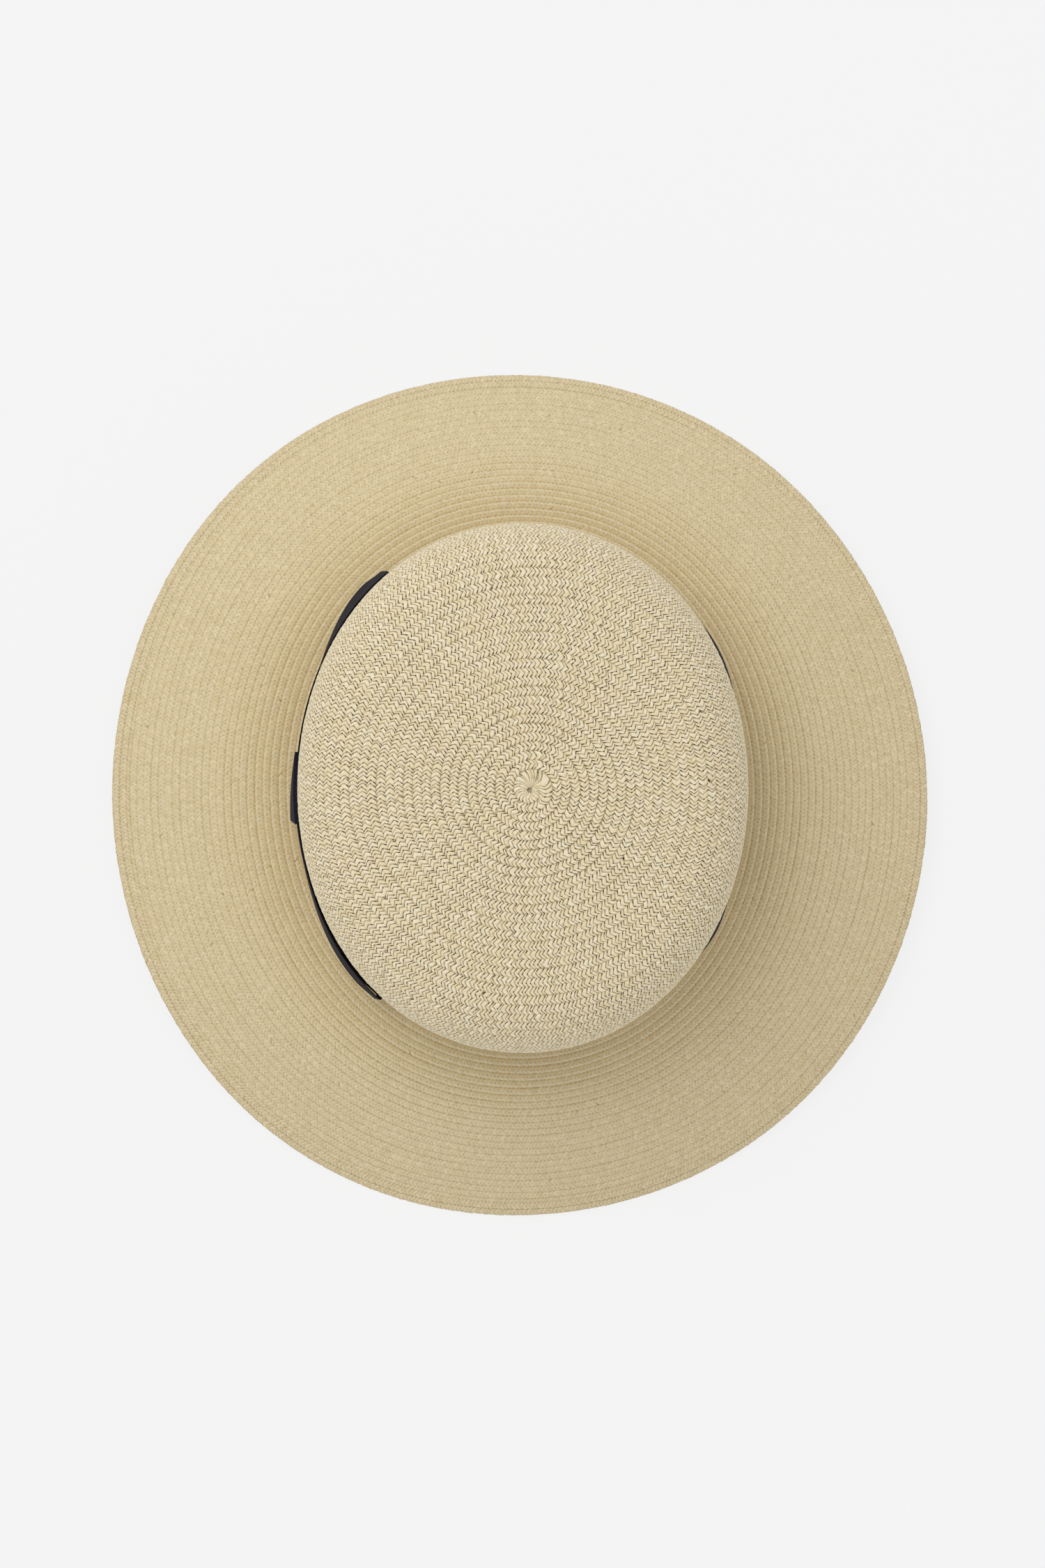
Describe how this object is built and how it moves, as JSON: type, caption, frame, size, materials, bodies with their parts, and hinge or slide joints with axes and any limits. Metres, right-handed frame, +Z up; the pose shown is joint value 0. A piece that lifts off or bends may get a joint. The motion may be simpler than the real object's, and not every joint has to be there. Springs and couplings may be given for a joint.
{
  "type": "wide-brimmed straw sun hat",
  "caption": "Sun hat of sewn paper braid with an oval flat-topped crown, a wide downturned brim, a dark ribbon band and a flat side bow.",
  "frame": {"origin": "on the standing surface, under the middle of the brim's outline", "axes": "+Z up through the crown, +Y to the front of the hat, -X to the wearer's left, where the bow is"},
  "size_m": [0.3252, 0.3374, 0.157],
  "materials": {
    "braid": "matt natural paper braid, herringbone rows",
    "braid_edge": "matt natural paper braid, folded row",
    "wire": "drawn wire",
    "sweatband_tape": "matt cotton tape",
    "pale_thread": "sewing thread",
    "label_tape": "bare woven tape",
    "ribbon": "ribbed navy ribbon with a low sheen",
    "dark_thread": "sewing thread"
  },
  "bodies": {
    "root": {"crown_tip": "braid", "crown_shoulder": "braid", "crown_side": "braid", "brim": "braid", "brim_edge_row": "braid_edge", "brim_wire": "wire", "wire_sleeve": "wire", "sweatband": "sweatband_tape", "sweatband_tab": "sweatband_tape", "sweatband_stitches": "pale_thread", "size_label": "label_tape", "hat_band": "ribbon", "band_tacks": "dark_thread", "bow_front_loop": "ribbon", "bow_rear_loop": "ribbon", "bow_knot": "ribbon"}
  },
  "joints": []
}
